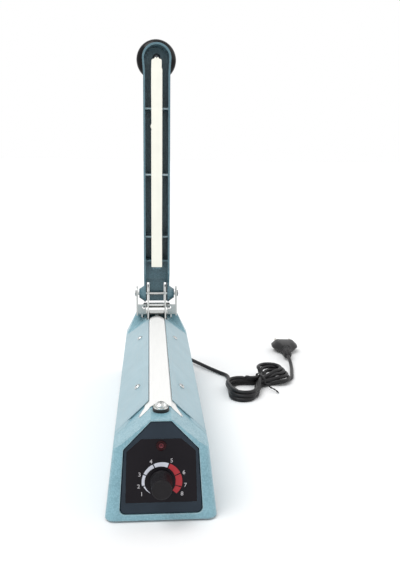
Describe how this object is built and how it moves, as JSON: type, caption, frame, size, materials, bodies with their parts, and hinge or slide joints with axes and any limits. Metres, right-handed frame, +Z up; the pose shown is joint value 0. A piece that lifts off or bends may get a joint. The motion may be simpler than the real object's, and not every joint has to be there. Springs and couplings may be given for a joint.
{
  "type": "impulse heat sealer",
  "caption": "Hand-operated impulse heat sealer: long casing with sealing bar, hinged press arm, timer dial, mains lead and plug.",
  "frame": {"origin": "on the table, under the middle of the sealer's bounding box, its lead left out", "axes": "+X to the right seen from the front panel, +Y back towards the hinge, +Z up; the front panel faces -Y"},
  "size_m": [0.226, 0.4265, 0.3728],
  "materials": {
    "casing_paint": "hammertone blue-green enamel",
    "plate_paint": "pale blue-grey enamel",
    "arm_paint": "dark blue-green enamel",
    "cover_paint": "dark satin paint",
    "panel_plastic": "fine-grained slate plastic",
    "label_print": "printed black label",
    "lamp_red": "red lens",
    "lamp_dark": "dark red ring",
    "black_knob": "polished black plastic",
    "dial_black": "satin black plastic",
    "zinc": "zinc-plated steel",
    "bright_steel": "bright nickel-plated steel",
    "screw_steel": "plated screws",
    "clip_steel": "blackened spring steel",
    "spring_steel": "spring wire",
    "silicone": "cream silicone rubber",
    "foot_rubber": "black rubber",
    "release_fabric": "white coated glass cloth",
    "phenolic": "brown phenolic board",
    "terminal_black": "black insulator",
    "ribbon_alloy": "nickel-chrome ribbon",
    "pot_metal": "plated can",
    "board_green": "green circuit board",
    "relay_blue": "blue relay case",
    "capacitor_skin": "dark blue sleeve",
    "lamp_glass": "small neon lamp",
    "lamination": "varnished steel laminations",
    "winding": "enamelled copper winding",
    "switch_case": "black switch case",
    "wire_red": "red wire insulation",
    "lead_black": "black flexible PVC",
    "pin_brass": "nickel-plated brass pins"
  },
  "bodies": {
    "casing": {"base_shell": "casing_paint", "bottom_cover": "cover_paint", "cover_screws": "screw_steel", "rubber_feet": "foot_rubber", "control_panel": "panel_plastic", "dial_label": "label_print", "lamp_bezel": "lamp_dark", "lamp_lens": "lamp_red", "neon_lamp": "lamp_glass", "potentiometer": "pot_metal", "potentiometer_nut": "screw_steel", "control_board": "board_green", "board_screws": "screw_steel", "timer_relay": "relay_blue", "board_capacitor": "capacitor_skin", "transformer_core": "lamination", "transformer_coil": "winding", "transformer_clamp": "zinc", "transformer_screws": "screw_steel", "switch_body": "switch_case", "switch_bracket": "zinc", "switch_screws": "screw_steel", "sealing_bar": "phenolic", "heating_ribbon": "ribbon_alloy", "release_cloth": "release_fabric", "clamp_plate_left": "plate_paint", "clamp_plate_right": "plate_paint", "clamp_screws": "screw_steel", "terminal_base": "terminal_black", "terminal_washer": "bright_steel", "terminal_screws": "bright_steel", "rear_terminal_block": "phenolic", "rear_terminal_tab": "ribbon_alloy", "hinge_bracket": "zinc", "bracket_screws": "screw_steel", "inner_wires": "wire_red", "cord_gland": "lead_black", "cord_lead": "lead_black", "cord_hank": "lead_black", "hank_tie": "lead_black", "cord_tail": "lead_black", "plug_sleeve": "lead_black", "plug_body": "lead_black", "plug_pins": "pin_brass"},
    "link": {"link_plates": "zinc", "link_foot": "zinc", "pivot_pin": "bright_steel", "pin_clips": "clip_steel", "guide_pin": "bright_steel", "spacer_tube": "bright_steel", "link_spring": "spring_steel", "torsion_springs": "spring_steel"},
    "arm": {"press_arm": "arm_paint", "silicone_strip": "silicone", "press_knob": "black_knob", "knob_screw": "screw_steel"},
    "timer_dial": {"timer_knob": "dial_black", "dial_shaft": "screw_steel"},
    "lever": {"switch_lever": "zinc"}
  },
  "joints": [
    {"name": "link_lift", "type": "slide", "parent": "casing", "child": "link", "axis": [0, 0, 1], "range_m": [0, 0.003], "stiffness_N_per_m": 3000, "springref_m": -0.003, "deforming": ["link_spring"]},
    {"name": "arm_swing", "type": "hinge", "parent": "link", "child": "arm", "pos_m": [0, 0.1374, 0.0974], "axis": [1, 0, 0], "range_deg": [0, 90], "stiffness_Nm_per_rad": 0.3, "springref_deg": -20.05, "deforming": ["torsion_springs"]},
    {"name": "dial_turn", "type": "hinge", "parent": "casing", "child": "timer_dial", "pos_m": [0, -0.16016, 0.0302], "axis": [0, -0.9936, 0.1132], "range_deg": [-135, 135]},
    {"name": "lever_follow", "type": "hinge", "parent": "casing", "child": "lever", "pos_m": [0, 0.1004, 0.0528], "axis": [1, 0, 0], "range_deg": [0, 7.5]}
  ],
  "couplings": [
    {"joint": "lever_follow", "follows": "link_lift", "rad_per_m": 41.667}
  ]
}
